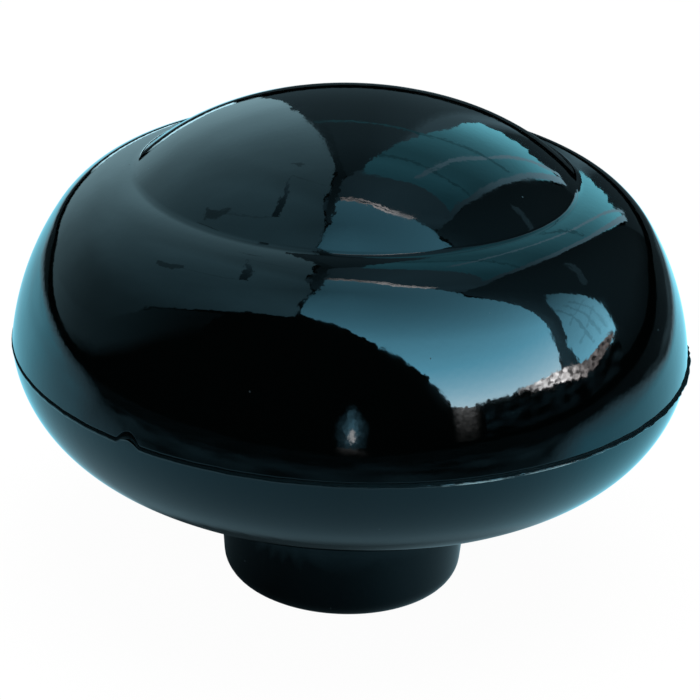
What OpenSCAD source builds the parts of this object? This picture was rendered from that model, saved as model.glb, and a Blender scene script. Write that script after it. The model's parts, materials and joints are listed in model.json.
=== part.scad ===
// Round palm-grip gear shift knob. One solid plastic moulding, parted at its widest line,
// holds a moulded-in brass bush that screws on to the end of the gear lever.
// The knob stands on its foot. The origin is the centre of the foot, and +Z runs up the lever's axis.
// All sizes are in millimetres and degrees.

/* [Overall] */
// Diameter at the parting line, where the knob is widest
body_d = 55; // [50:0.5:68]
// Height of the parting line above the foot
parting_h = 21.2; // [17.6:0.1:30]

/* [Upper half] */
// Lean of the wall just above the parting line
upper_draft = 5; // [0:0.5:10]
// Radius of the flank that rises from the parting line
flank_r = 22.5; // [18:0.1:27]
// Lean at which the flank runs into the shoulder
flank_end = 28; // [20:1:40]
// Radius of the shoulder
shoulder_r = 12.4; // [9:0.1:15]
// Lean at which the shoulder dips into the crease round the crown
shoulder_end = 77; // [70:1:82]
// Hollow radius of the crease
crease_r = 0.8; // [0.4:0.1:2]
// Lean at which the crown climbs out of the crease
crown_start = 51; // [48:1:60]
// Radius of the crown's edge
crown_edge_r = 20; // [14:0.5:24]
// Lean at which the crown's edge runs into its flatter top
crown_edge_end = 74; // [68:1:78]

/* [Lower half] */
// Lean of the wall just below the parting line
lower_draft = 5.5; // [0:0.5:10]
// Radius of the bowl below the parting line
bowl_r = 10.4; // [8:0.1:12]
// Lean at which the bowl runs into the flatter underside
bowl_end = 61; // [55:1:68]

/* [Neck] */
// Diameter of the neck where its wall would meet the foot
neck_d = 19.6; // [16:0.1:24]
// Taper of the neck's wall
neck_draft = 5; // [1:0.5:8]
// Fillet between the neck and the underside
neck_fillet_r = 2; // [1:0.1:3]
// Rounding of the foot's edge
foot_edge_r = 1.9; // [0.5:0.1:2.5]
// Narrowest flat ring left between the bush and the rounding
foot_land = 0.6; // [0.3:0.1:1]

/* [Flash on the parting line] */
// Thickness of the flash
flash_t = 0.3; // [0.2:0.05:0.6]
// Stand-out on the side where it was trimmed closest
flash_min = 0.05; // [0.02:0.01:0.2]
// Stand-out on the side where most of it was left
flash_max = 0.3; // [0.2:0.01:0.5]
// Direction of the side where most of it was left
flash_side = -10; // [-180:5:180]

/* [Chip in the parting line] */
// Direction of the chip
chip_side = 229; // [0:1:359]
// Length of the chip along the parting line
chip_l = 2.6; // [1:0.1:5]
// Height of the chip above the parting line
chip_h = 0.6; // [0.3:0.05:1.2]
// Depth of the chip
chip_depth = 0.3; // [0.1:0.05:0.6]

/* [Threaded bush] */
// Diameter of the bush over its plain collar
bush_d = 14; // [12:0.5:17]
// Length of the plain collar at the mouth
collar_l = 1.5; // [1:0.1:3]
// How far the knurl's teeth stay under the collar
knurl_inset = 0.2; // [0.1:0.05:0.4]
// Depth of the knurl
knurl_depth = 0.5; // [0.2:0.05:0.6]
// Number of teeth round the knurl
knurl_teeth = 30; // [18:2:48]
// Depth of the anchoring groove under the knurl
groove_depth = 0.3; // [0.1:0.05:0.4]
// Width of the anchoring groove
groove_w = 3; // [1.5:0.1:5]
// Plain length at the blind end
blind_end_l = 1.5; // [1:0.1:3]

/* [Lever thread] */
// Hole that the M10 x 1.5 thread is cut in
thread_hole_d = 8.5; // [8.4:0.1:8.8]
// Depth of the hole to the end of its full diameter
thread_hole_l = 15.5; // [12:0.5:19]
// Point angle of the drill that made it
drill_point = 118; // [90:1:140]
// Diameter of the countersink at the mouth
countersink_d = 10.6; // [9:0.1:12]
// Wall left between the drill's point and the end of the bush
end_wall = 2; // [1:0.1:4]

/* [Hidden] */
$fn = 180;

body_r = body_d / 2;
neck_r = neck_d / 2;
bush_r = bush_d / 2;
foot_edge = min(foot_edge_r, neck_r - bush_r - foot_land);
knurl_r = bush_r - knurl_inset;
core_r = knurl_r - knurl_depth - groove_depth;
drill_point_l = thread_hole_d / 2 / tan(drill_point / 2);
bush_l = thread_hole_l + drill_point_l + end_wall;

// Round areas that touch in a tangent overlap by a hair's breadth and reach a little past the place where
// they touch, so that rounding leaves no gap or step between them.
hair = 0.0003;
reach = 2;

// Unit vector that leans the given angle up from level. It is the outward normal of a wall with that lean.
function lean(angle) = [cos(angle), sin(angle)];

// An outline is a chain of arcs, each [radius, lean at its start, lean at its end]. Neighbours share a
// tangent, because their centres lie on the normal through the point where they meet. A hollow arc's radius
// is negative.
function centre(arcs, i) =
    i == 0 ? [body_r, 0] - arcs[0][0] * lean(arcs[0][1])
           : centre(arcs, i - 1) + (arcs[i - 1][0] - arcs[i][0]) * lean(arcs[i][1]);

// Adds the last arc of a chain, which is centred on the axis and runs level across it.
function closed(arcs) =
    let (i = len(arcs) - 1, end = arcs[i][2])
    concat(arcs, [[arcs[i][0] + centre(arcs, i).x / cos(end), end, 90]]);

upper_arcs = closed([
    [flank_r, upper_draft, flank_end],
    [shoulder_r, flank_end, shoulder_end],
    [-crease_r, shoulder_end, crown_start],
    [crown_edge_r, crown_start, crown_edge_end],
]);
lower_arcs = closed([
    [bowl_r, lower_draft, bowl_end],
]);

// The part of a disc between two leans.
module sector(r, from, to) {
    intersection() {
        circle(r);
        polygon([[0, 0], 2 * r * lean(from), 2 * r * lean(to)]);
    }
}

// How far arc i may reach past its joint with arc k, which it does where it stays inside the outline: under a
// wider arc, or beside a hollow one.
function past(arcs, i, k) =
    k >= 0 && k < len(arcs) && (arcs[k][0] < 0 || arcs[k][0] > arcs[i][0]) ? reach : 0;

// Where arc i meets the one before it.
function joint(arcs, i) = centre(arcs, i) + arcs[i][0] * lean(arcs[i][1]);

// The area inside a chain of arcs, above the level of its start: a polygon through the joints, less a disc
// for each hollow arc, and with a sector on each round one.
module inside(arcs) {
    last = len(arcs) - 1;
    for (i = [0:last])
        if (arcs[i][0] > 0) {
            before = past(arcs, i, i - 1);
            after = past(arcs, i, i + 1);
            translate(centre(arcs, i))
                sector(arcs[i][0] + (before + after > 0 ? hair : 0), arcs[i][1] - before, arcs[i][2] + after);
        }
    difference() {
        polygon([
            [0, 0],
            for (i = [0:last]) joint(arcs, i),
            [0, centre(arcs, last).y + arcs[last][0]],
        ]);
        for (i = [0:last])
            if (arcs[i][0] < 0)
                translate(centre(arcs, i)) circle(hair - arcs[i][0]);
    }
}

// Centre of the fillet that touches the neck's wall and the underside, which is a sphere centred on the axis.
function fillet_centre() =
    let (
        sphere_r = lower_arcs[1][0],
        sphere_z = parting_h - centre(lower_arcs, 1).y,
        slope = tan(neck_draft),
        wall = neck_r + neck_fillet_r / cos(neck_draft),
        a = 1 + pow(slope, 2),
        b = 2 * (wall * slope - sphere_z),
        c = pow(wall, 2) + pow(sphere_z, 2) - pow(sphere_r + neck_fillet_r, 2),
        z = (-b - sqrt(pow(b, 2) - 4 * a * c)) / (2 * a)
    )
    [wall + z * slope, z];

// The neck's half section: a tapered wall between the rounded foot and the fillet under the bowl.
module neck_section() {
    out = lean(-neck_draft);
    foot_c = [neck_r + foot_edge * (tan(neck_draft) - 1 / cos(neck_draft)), foot_edge];
    fillet_c = fillet_centre();
    sphere_c = [0, parting_h - centre(lower_arcs, 1).y];
    root = (fillet_c + sphere_c) / 2;
    translate(foot_c) sector(foot_edge + hair, -90 - reach, -neck_draft + reach);
    difference() {
        polygon([
            [0, 0],
            [foot_c.x, 0],
            foot_c,
            foot_c + foot_edge * out,
            fillet_c - neck_fillet_r * out,
            fillet_c,
            root,
            [0, root.y],
        ]);
        translate(fillet_c) circle(neck_fillet_r + hair);
    }
}

// Half section of the whole moulding.
module body_section() {
    intersection() {
        union() {
            translate([0, parting_h]) inside(upper_arcs);
            neck_section();
        }
        square([body_d, parting_h + body_d]);
    }
    intersection() {
        translate([0, parting_h]) mirror([0, 1]) inside(lower_arcs);
        square([body_d, parting_h]);
    }
}

// Flash squeezed out between the mould halves, set off centre as trimming left it.
module flash() {
    rotate(flash_side)
        translate([(flash_max - flash_min) / 2, 0, parting_h - flash_t / 2])
            cylinder(r = body_r + (flash_max + flash_min) / 2, h = flash_t);
}

// What broke out of the upper half's edge, as a prism that points at the axis.
module chip() {
    rotate(chip_side)
        translate([body_r - chip_depth, 0, parting_h])
            rotate([90, 0, 90])
                linear_extrude(chip_depth + 1)
                    polygon([
                        [-chip_l / 2, -flash_t / 2],
                        [-chip_l / 4, chip_h],
                        [chip_l / 4, chip_h * 0.8],
                        [chip_l / 2, -flash_t / 2],
                    ]);
}

module knurl_band(from, to) {
    translate([0, 0, from])
        linear_extrude(to - from)
            polygon([for (i = [0:2 * knurl_teeth - 1])
                (knurl_r - knurl_depth * (i % 2)) * lean(180 * i / knurl_teeth)]);
}

// The bush before its hole is made, which is also the space it takes up in the moulding.
module bush_blank() {
    knurl_end = bush_l - blind_end_l;
    groove_z = (collar_l + knurl_end - groove_w) / 2;
    cylinder(r = bush_r, h = collar_l);
    cylinder(r = core_r, h = bush_l);
    knurl_band(collar_l, groove_z);
    knurl_band(groove_z + groove_w, knurl_end);
}

// Blind hole for the lever's thread, with its countersink and the cone that the drill left.
module lever_hole() {
    countersink_l = (countersink_d - thread_hole_d) / 2;
    rotate_extrude()
        polygon([
            [0, 0],
            [countersink_d / 2, 0],
            [thread_hole_d / 2, countersink_l],
            [thread_hole_d / 2, thread_hole_l],
            [0, thread_hole_l + drill_point_l],
        ]);
}

module knob_body() {
    color([0.05, 0.06, 0.065])
        difference() {
            union() {
                rotate_extrude() body_section();
                flash();
            }
            chip();
            bush_blank();
        }
}

module threaded_bush() {
    color([0.78, 0.6, 0.28])
        difference() {
            bush_blank();
            lever_hole();
        }
}

knob_body();
threaded_bush();
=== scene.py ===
import json
import math

import bpy
from mathutils import Matrix, Vector, noise

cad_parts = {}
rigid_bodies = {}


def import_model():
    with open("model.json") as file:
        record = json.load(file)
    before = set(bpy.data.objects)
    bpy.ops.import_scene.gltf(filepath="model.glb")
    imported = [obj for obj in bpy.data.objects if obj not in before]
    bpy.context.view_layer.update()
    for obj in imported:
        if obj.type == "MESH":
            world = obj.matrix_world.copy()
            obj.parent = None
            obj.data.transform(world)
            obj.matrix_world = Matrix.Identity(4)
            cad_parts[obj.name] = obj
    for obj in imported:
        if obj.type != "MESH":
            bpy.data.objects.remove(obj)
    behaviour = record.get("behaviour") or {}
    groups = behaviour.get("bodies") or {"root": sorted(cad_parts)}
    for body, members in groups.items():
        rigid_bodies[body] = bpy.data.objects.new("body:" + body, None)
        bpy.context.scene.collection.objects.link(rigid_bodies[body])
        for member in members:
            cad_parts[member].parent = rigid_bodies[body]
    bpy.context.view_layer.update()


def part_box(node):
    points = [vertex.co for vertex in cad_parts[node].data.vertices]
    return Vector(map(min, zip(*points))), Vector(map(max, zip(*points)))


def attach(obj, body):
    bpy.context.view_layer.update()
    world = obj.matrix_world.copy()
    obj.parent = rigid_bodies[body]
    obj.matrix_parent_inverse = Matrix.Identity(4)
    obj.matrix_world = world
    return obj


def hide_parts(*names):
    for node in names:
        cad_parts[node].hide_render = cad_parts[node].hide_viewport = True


bl_info = {
    "name": "Gear Shift Knob",
    "version": (1, 0, 0),
    "blender": (4, 5, 0),
    "location": "3D View > Sidebar > Gear Knob",
    "description": "Makes a gloss black gear shift knob with a threaded brass bush, and its studio",
    "category": "Add Mesh",
}

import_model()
BUSH_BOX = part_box("threaded_bush")

MM = 0.001

# arcs of the moulding's half section from the parting line on, each (radius, lean at its start, lean at
# its end), in millimetres and degrees
UPPER_ARCS = (
    (22.1, 5, 32.5),  # flank
    (9.3, 32.5, 78.5),  # shoulder
    (-1.6, 78.5, 49.5),  # hollow crease round the crown
    (20.08, 49.5, 69.4),  # crown's edge
)
LOWER_ARCS = ((10.4, 5.5, 61),)  # bowl

# where the smooth upper wall stops, and how it ends over the flash, as (millimetres above the parting
# line, share, trimmed)
NICK_TOP = 0.36
NICK_ROWS = ((0.33, 0, 0), (0.3, -0.15, 0.45), (0.25, -0.8, 1), (0.19, -1, 1), (0.13, -0.5, 1),
             (0.1, 0.3, 1), (0.07, 0.8, 0.8), (0.03, 1, 0.35))

# green part of the gloss's tint, which the set's lights make up for
MIRRORED_GREEN = 0.87


# ---------------------------------------------------------------- small helpers

def rgb(colour, alpha=1.0):
    """Linear RGBA from an sRGB hex value such as "#1A2B3C"."""
    parts = [int(colour[i:i + 2], 16) / 255 for i in (1, 3, 5)]
    return [p / 12.92 if p <= 0.04045 else ((p + 0.055) / 1.055) ** 2.4 for p in parts] + [alpha]


def lean(angle):
    """Unit vector (out, up) of an angle in degrees up from level."""
    return Vector((math.cos(math.radians(angle)), math.sin(math.radians(angle))))


def add(tree, kind, links=None, **settings):
    """Adds a node. links maps an input's name or number to a value or to what feeds it: a formula,
    another node's output socket, or a whole node, which stands for its first output."""
    node = tree.nodes.new(kind)
    for key, value in settings.items():
        setattr(node, key, value)
    for key, value in (links or {}).items():
        if isinstance(value, Formula):
            value = value.socket
        elif isinstance(value, bpy.types.Node):
            value = value.outputs[0]
        if isinstance(value, bpy.types.NodeSocket):
            tree.links.new(value, node.inputs[key])
        else:
            node.inputs[key].default_value = value
    return node


class Formula:
    """A number that varies over a mesh, such as a radius. A sign or step between two of them adds a node
    to the tree, so that a shape is written as the formula it follows."""

    def __init__(self, tree, socket):
        self.tree, self.socket = tree, socket

    def step(self, operation, *others):
        links = dict(enumerate((self, *others)))
        return Formula(self.tree, add(self.tree, "ShaderNodeMath", links, operation=operation).outputs[0])

    def __add__(self, other):
        return self.step("ADD", other)

    def __sub__(self, other):
        return self.step("SUBTRACT", other)

    def __mul__(self, other):
        return self.step("MULTIPLY", other)

    def __truediv__(self, other):
        return self.step("DIVIDE", other)


def mesh_object(name, vertices, faces=(), edges=()):
    mesh = bpy.data.meshes.new(name)
    mesh.from_pydata([tuple(v) for v in vertices], list(edges), list(faces))
    mesh.update()
    thing = bpy.data.objects.new(name, mesh)
    bpy.context.scene.collection.objects.link(thing)
    return thing


# ---------------------------------------------------------------- sizes and colours

def length_property(name, description, size, precision=4):
    """A length, whose default is given in millimetres"""
    return bpy.props.FloatProperty(
        name=name, description=description, default=size * MM, unit="LENGTH", precision=precision)


def angle_property(name, description, degrees):
    return bpy.props.FloatProperty(
        name=name, description=description, default=math.radians(degrees), subtype="ANGLE")


def colour_property(name, description, colour):
    return bpy.props.FloatVectorProperty(
        name=name, description=description, default=rgb(colour), subtype="COLOR", size=4, min=0, max=1)


class KnobBodySizes(bpy.types.PropertyGroup):
    """Sizes of the plastic moulding, as the solid model has them"""
    width: length_property("Width", "Diameter at the parting line", 55)
    parting_height: length_property("Parting Height", "Height of the parting line above the foot", 21.2)
    neck_width: length_property(
        "Neck Width", "Diameter of the neck where its wall would meet the foot", 19.6)
    neck_draft: angle_property("Neck Taper", "Taper of the neck's wall", 5)
    neck_fillet: length_property("Neck Fillet", "Fillet between the neck and the underside", 2)
    foot_edge: length_property("Foot Rounding", "Rounding of the foot's edge", 1.9)
    flash_thickness: length_property(
        "Flash Thickness", "Thickness of the flash on the parting line", 0.3, 5)
    flash_least: length_property(
        "Least Flash", "Stand-out of the flash where it was trimmed closest", 0.05, 5)
    flash_most: length_property("Most Flash", "Stand-out of the flash where most of it was left", 0.3, 5)
    flash_side: angle_property("Flash Side", "Direction in which most of the flash was left", -10)
    # the side on which the seam's highlight is painted along the flash
    seam_highlight_side: angle_property("Seam Highlight Side", "Direction of the side where the flash was trimmed last", -66)
    chip_side: angle_property("Chip Side", "Direction of the chip in the parting line", 229)
    chip_length: length_property("Chip Length", "Length of the chip along the parting line", 2.6)
    chip_height: length_property("Chip Height", "How far the chip climbs above the parting line", 0.62, 5)
    chip_depth: length_property("Chip Depth", "Depth of the chip", 0.3, 5)
    chip_mouth: length_property("Chip Mouth", "How much wider than the nick the chip gapes", 0.22, 5)
    nick_depth: length_property(
        "Nick Depth", "Depth of the nick that trimming left over the flash", 0.07, 5)
    columns: bpy.props.IntProperty(
        name="Columns", description="Divisions round the axis", default=460, min=32, max=480)
    black: colour_property("Moulding Black", "Colour of the plastic", "#010202")
    # painted light colour: the teal of the room's light is painted into the gloss's tint
    mirrored_light_tint: colour_property("Gloss Tint", "Tint of what the gloss mirrors head on", "#C9F0FF")


class BushSizes(bpy.types.PropertyGroup):
    """Sizes of the brass bush and its thread"""
    width: length_property("Width", "Diameter over the plain collar", 14)
    collar: length_property("Collar", "Length of the plain collar at the mouth", 1.5)
    knurl_depth: length_property("Knurl Depth", "Depth of the knurl", 0.5)
    knurl_teeth: bpy.props.IntProperty(
        name="Knurl Teeth", description="Number of teeth round the knurl", default=30, min=12, max=60)
    thread_pitch: length_property("Thread Pitch", "Pitch of the M10 thread", 1.5)
    thread_depth: length_property("Thread Depth", "How deep the thread is cut into the hole's wall", 0.78)
    hole_width: length_property("Hole Width", "Diameter of the hole that the thread is cut in", 8.5)
    hole_depth: length_property("Hole Depth", "Depth of the hole to the end of its full diameter", 15.5)
    countersink: length_property("Countersink", "Diameter of the countersink at the mouth", 10.6)
    brass: colour_property("Brass", "Colour of the brass", "#D9B46A")


class StudioSizes(bpy.types.PropertyGroup):
    """The floor, the set that the gloss mirrors, the lamps and the camera"""
    turn: angle_property("Turn", "Turn of the whole studio about the knob's axis", -5)
    camera_distance: length_property(
        "Camera Distance", "From the middle of the parting line to the camera", 220)
    camera_elevation: angle_property("Camera Elevation", "Angle that the camera looks down at", 23.42)
    camera_roll: angle_property("Camera Roll", "Roll of the camera about its own axis", 2.32)
    focal_length: bpy.props.FloatProperty(
        name="Focal Length", description="In millimetres, on a sensor 36 mm wide", default=138.24)
    table: colour_property("Table", "Pale table top that the gloss mirrors", "#A4CEDD")
    wall: colour_property("Wall", "Grey wall on the left", "#A9D3DF")
    daylight: colour_property("Daylight", "Colour of the windows and the ceiling", "#9ADCF0")
    back_daylight: colour_property("Back Daylight", "Colour of the back window", "#7FDDF0")
    frame_grey: colour_property(
        "Frame Grey", "Colour of the window frames and other shaded things", "#8EB5C4")


# ---------------------------------------------------------------- knob body

def arcs_from(start, chain):
    """Centres of a chain of arcs (radius, lean at its start, lean at its end) whose neighbours share a
    tangent. A hollow arc's radius is negative. The chain is closed by an arc centred on the axis."""
    centre = Vector((start, 0)) - chain[0][0] * lean(chain[0][1])
    out = []
    for i, (radius, low, high) in enumerate(chain):
        if i:
            centre = centre + (chain[i - 1][0] - radius) * lean(low)
        out.append((centre.copy(), radius, low, high))
    last = radius + centre.x / math.cos(math.radians(high))
    out.append((centre + (radius - last) * lean(high), last, high, 90))
    return out


def arc_points(centre, radius, low, high, steps):
    """Points along an arc, from its start to just before its end."""
    return [centre + radius * lean(low + (high - low) * i / steps) for i in range(steps)]


def distance_out(arc, height):
    """Distance from the axis of a point on an arc, at a height over the parting line."""
    centre, radius = arc[:2]
    return centre.x + math.sqrt(radius ** 2 - (height - centre.y) ** 2)


def neck_rows(neck_r, draft, fillet, foot, sphere_z, sphere_r):
    """Rows of the neck from its fillet under the bowl down to the foot's flat face. The underside is a
    sphere centred on the axis, which the fillet touches as it touches the neck's wall."""
    cosine, slope = math.cos(math.radians(draft)), math.tan(math.radians(draft))
    side = neck_r + fillet / cosine
    a, b = 1 + slope ** 2, 2 * (side * slope - sphere_z)
    c = side ** 2 + sphere_z ** 2 - (sphere_r + fillet) ** 2
    z = (-b - math.sqrt(b * b - 4 * a * c)) / (2 * a)
    fillet_c = Vector((side + z * slope, z))
    inward = Vector((0, sphere_z)) - fillet_c
    turn = math.degrees(math.atan2(inward.y, inward.x))
    foot_c = Vector((neck_r + foot * (slope - 1 / cosine), foot))
    top, base = fillet_c - fillet * lean(-draft), foot_c + foot * lean(-draft)
    points = arc_points(fillet_c, fillet, turn, 180 - draft, 9)
    points += [top + (base - top) * i / 6 for i in range(6)]
    points += arc_points(foot_c, foot, -draft, -90, 11)
    return [tuple(p) for p in points] + [(foot_c.x, 0)]


def body_section(s):
    """Half section of the moulding from the crown's top down to the end of the bush's pocket, as
    (distance from the axis, height, share, trimmed), in millimetres. share is a part of the flash's
    stand-out, or of the depth of the nick above it where it is below 0, and trimmed is 1 where a file
    has dulled the gloss."""
    body_r, parting, flash = s.width / MM / 2, s.parting_height / MM, s.flash_thickness / MM / 2
    upper, lower = arcs_from(body_r, UPPER_ARCS), arcs_from(body_r, LOWER_ARCS)
    # rows along each arc are closest together in the shoulder and the crease
    rows = []
    for arc, steps in zip(upper, (28, 34, 16, 12, 10)):
        rows += [(p.x, parting + p.y) for p in arc_points(*arc, steps)]
    rows.append((0, parting + upper[-1][0].y + upper[-1][1]))
    # the upper wall stops at the nick over the flash, which has a rounded rim
    rows = [row for row in rows if row[1] > parting + NICK_TOP]
    rows.reverse()
    rows += [(distance_out(upper[0], dz), parting + dz, share, trimmed)
             for dz, share, trimmed in NICK_ROWS]
    # the lower wall starts with the flash's rounded underside
    for dz, share in ((0.04, 1), (flash * 0.7, 0.85), (flash - 0.01, 0.45), (flash, 0), (flash + 0.03, 0)):
        rows.append((distance_out(lower[0], dz), parting - dz, share))
    # the bowl starts a little under the flash and ends a little short of the neck's fillet
    neck = neck_rows(s.neck_width / MM / 2, math.degrees(s.neck_draft), s.neck_fillet / MM,
                     s.foot_edge / MM, parting - lower[1][0].y, lower[1][1])
    under_flash, short_of_fillet = 0.06, 0.15
    for arc, steps in zip(lower, (26, 40)):
        rows += [(p.x, parting - p.y) for p in arc_points(*arc, steps)
                 if p.y > flash + under_flash and p.x > neck[0][0] + short_of_fillet]
    # the foot's flat ring and the bush's pocket, whose edge is broken by a hair
    pocket_r, pocket_z = BUSH_BOX[1].x / MM, BUSH_BOX[1].z / MM
    foot_r, hair = neck[-1][0], 0.02
    return rows + neck + [((foot_r + pocket_r) / 2, 0), (pocket_r + hair, 0), (pocket_r, hair),
                          (pocket_r, pocket_z / 2), (pocket_r, pocket_z), (0, pocket_z)]


def turned_tree(name, displace):
    """Geometry Nodes tree that turns a section round the Z axis. displace adds the piece's own nodes: it
    gets the tree, its group input, and the column's angle, the radius, the height and the section's
    share, and returns the angle, radius and height to use."""
    tree = bpy.data.node_groups.new(name, "GeometryNodeTree")
    for label, kind in (("Section", "NodeSocketObject"), ("Columns", "NodeSocketInt"),
                        ("Material", "NodeSocketMaterial")):
        tree.interface.new_socket(label, in_out="INPUT", socket_type=kind)
    tree.interface.new_socket("Geometry", in_out="OUTPUT", socket_type="NodeSocketGeometry")
    given = tree.nodes.new("NodeGroupInput")
    section = add(tree, "GeometryNodeObjectInfo", {"Object": given.outputs["Section"]},
                  transform_space="RELATIVE").outputs["Geometry"]
    rows = add(tree, "GeometryNodeAttributeDomainSize", {"Geometry": section},
               component="MESH").outputs["Point Count"]
    columns = Formula(tree, given.outputs["Columns"])
    index = Formula(tree, tree.nodes.new("GeometryNodeInputIndex").outputs[0])
    row = index.step("FLOORED_MODULO", rows)
    angle = ((index + 0.5) / rows).step("FLOOR") / columns * (2 * math.pi)

    def of_row(value, kind):
        return add(tree, "GeometryNodeSampleIndex", {"Geometry": section, "Value": value, "Index": row},
                   data_type=kind, domain="POINT").outputs[0]

    def marked_on_row(label):
        value = add(tree, "GeometryNodeInputNamedAttribute", {"Name": label}, data_type="FLOAT")
        return Formula(tree, of_row(value, "FLOAT"))

    place = of_row(tree.nodes.new("GeometryNodeInputPosition"), "FLOAT_VECTOR")
    parts = add(tree, "ShaderNodeSeparateXYZ", {0: place})
    angle, radius, height = displace(tree, given, angle, Formula(tree, parts.outputs["X"]),
                                     Formula(tree, parts.outputs["Z"]), marked_on_row("share"))
    spot = add(tree, "ShaderNodeCombineXYZ", {"X": radius * angle.step("COSINE"),
                                              "Y": radius * angle.step("SINE"), "Z": height})
    grid = add(tree, "GeometryNodeMeshGrid", {"Size X": 1, "Size Y": 1, "Vertices X": columns + 1,
                                              "Vertices Y": rows})
    mesh = add(tree, "GeometryNodeStoreNamedAttribute",
               {"Geometry": grid, "Name": "trimmed", "Value": marked_on_row("trimmed")},
               data_type="FLOAT", domain="POINT")
    for kind, links in (("GeometryNodeSetPosition", {"Position": spot}),
                        ("GeometryNodeMergeByDistance", {"Distance": 0.0001 * MM}),
                        ("GeometryNodeSetShadeSmooth", {"Shade Smooth": True}),
                        ("GeometryNodeRealizeInstances", {}),
                        ("GeometryNodeSetMaterial", {"Material": given.outputs["Material"]}),
                        ("NodeGroupOutput", {})):
        mesh = add(tree, kind, {"Geometry": mesh, **links})
    return tree


def extra_inputs(tree, given, labels):
    """Adds named float inputs to a tree and returns them by name."""
    for label in labels:
        tree.interface.new_socket(label, in_out="INPUT", socket_type="NodeSocketFloat")
    return {label: Formula(tree, given.outputs[label]) for label in labels}


def grown(name, tree, values):
    """Runs a tree on a new object and returns the result as a plain mesh object of that name."""
    host = mesh_object(name + "_grower", [(0, 0, 0)])
    modifier = host.modifiers.new("turned", "NODES")
    modifier.node_group = tree
    for item in tree.interface.items_tree:
        if item.item_type == "SOCKET" and item.in_out == "INPUT":
            modifier[item.identifier] = values[item.name]
    bpy.context.view_layer.update()
    evaluated = host.evaluated_get(bpy.context.evaluated_depsgraph_get())
    mesh = bpy.data.meshes.new_from_object(evaluated)
    mesh.name = name
    bpy.data.objects.remove(host)
    piece = bpy.data.objects.new(name, mesh)
    bpy.context.scene.collection.objects.link(piece)
    return piece


def section_object(name, rows):
    """Vertices in the XZ plane from rows of (distance from the axis, height, share, trimmed), in
    millimetres. The last two are 0 where a row leaves them out, and the mesh keeps them as
    attributes."""
    rows = [(*row, 0, 0)[:4] for row in rows]
    section = mesh_object(name, [(row[0] * MM, 0, row[1] * MM) for row in rows],
                          edges=[(i, i + 1) for i in range(len(rows) - 1)])
    for column, label in ((2, "share"), (3, "trimmed")):
        marks = section.data.attributes.new(label, "FLOAT", "POINT")
        marks.data.foreach_set("value", [row[column] for row in rows])
    section.hide_render = True
    return section


def body_displace(tree, given, angle, radius, height, share):
    """Columns stand closer together round the chip. The flash is ragged and set off centre, with a nick
    over it. At the chip the flash and the nick climb over a flake, and the nick is deep."""
    size = extra_inputs(tree, given, (
        "Chip Side", "Chip Length", "Chip Depth", "Chip Height", "Chip Mouth", "Parting Height",
        "Flash Side", "Least Flash", "Most Flash", "Nick Depth"))
    crowding = 0.65
    angle = angle - angle.step("SINE") * crowding + size["Chip Side"]
    across, along = angle.step("COSINE"), angle.step("SINE")

    def ripple(scale, seed):
        """Noise from 0 to 1 that runs on round the axis"""
        spot = add(tree, "ShaderNodeCombineXYZ", {"X": across, "Y": along, "Z": seed})
        waves = add(tree, "ShaderNodeTexNoise", {"Vector": spot, "Scale": scale, "Detail": 2.0},
                    noise_dimensions="3D")
        return Formula(tree, waves.outputs[0])

    # ragged rim of the flash: long waves and short breaks
    flash_part, nick_part = share.step("MAXIMUM", 0.0), (share * -1.0).step("MAXIMUM", 0.0)
    swell = (angle - size["Flash Side"]).step("COSINE") * 0.5 + 0.5
    stand = swell.step("POWER", 1.6) * (size["Most Flash"] - size["Least Flash"]) + size["Least Flash"]
    broken = (ripple(24.0, 3.0) * 1.7 - 0.1) * (ripple(5.0, 8.0) * 1.2 + 0.45)
    rim = stand * (broken.step("MAXIMUM", 0.15) * flash_part)
    nick = nick_part * (size["Nick Depth"] * (ripple(20.0, 11.0) * 1.4 + 0.3))
    wander = (ripple(16.0, 5.0) - 0.5) * (0.14 * MM)
    # the chip rises slowly on one side and falls steeply on the other
    apart = angle - size["Chip Side"]
    way = apart.step("SINE") * radius / (size["Chip Length"] * 0.5) + 0.05
    ends = (way / 0.85).step("MAXIMUM", way / -0.95)
    bump = (ends * ends * -1.0 + 1.0).step("MAXIMUM", 0.0).step("POWER", 1.3)
    chip = bump * apart.step("COSINE").step("GREATER_THAN", 0.5)
    # the lift fades out below the flash and above the nick, whose mouth it opens
    over = height - size["Parting Height"]
    below, mouth, above = (
        Formula(tree, add(tree, "ShaderNodeMapRange",
                          {"Value": over, "From Min": low * MM, "From Max": high * MM}).outputs[0])
        for low, high in ((-1.6, 0.0), (0.12, 0.28), (2.2, 0.3)))
    near = below * above
    lift = chip * (size["Chip Height"] * near + size["Chip Mouth"] * (mouth * above))
    # what is lifted keeps to the slope of the wall that it slides along: 5 degrees, and more further off
    slope = over * 60.0 + over.step("SIGN") * 0.09
    cut = nick.step("MAXIMUM", chip * size["Chip Depth"] * nick_part)
    return angle, radius - lift * slope + rim - cut, height + wander * near + lift


class GEARKNOB_OT_body(bpy.types.Operator):
    """Make the gloss black moulding, with its raised crown, parting line and neck"""
    bl_idname = "gearknob.body"
    bl_label = "Knob Body"

    def execute(self, context):
        s = context.scene.gear_knob_body
        section = section_object("knob_body_section", body_section(s))
        tree = turned_tree("Knob Body Turning", body_displace)
        body = grown("knob_body_moulding", tree, {
            "Section": section, "Columns": s.columns, "Material": black_phenolic(s),
            "Chip Side": s.chip_side, "Chip Length": s.chip_length, "Chip Depth": s.chip_depth,
            "Chip Height": s.chip_height, "Chip Mouth": s.chip_mouth, "Nick Depth": s.nick_depth,
            "Parting Height": s.parting_height, "Flash Side": s.flash_side, "Least Flash": s.flash_least,
            "Most Flash": s.flash_most})
        bpy.data.objects.remove(section)
        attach(body, "root")
        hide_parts("knob_body")
        return {"FINISHED"}


# ---------------------------------------------------------------- threaded bush

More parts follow.
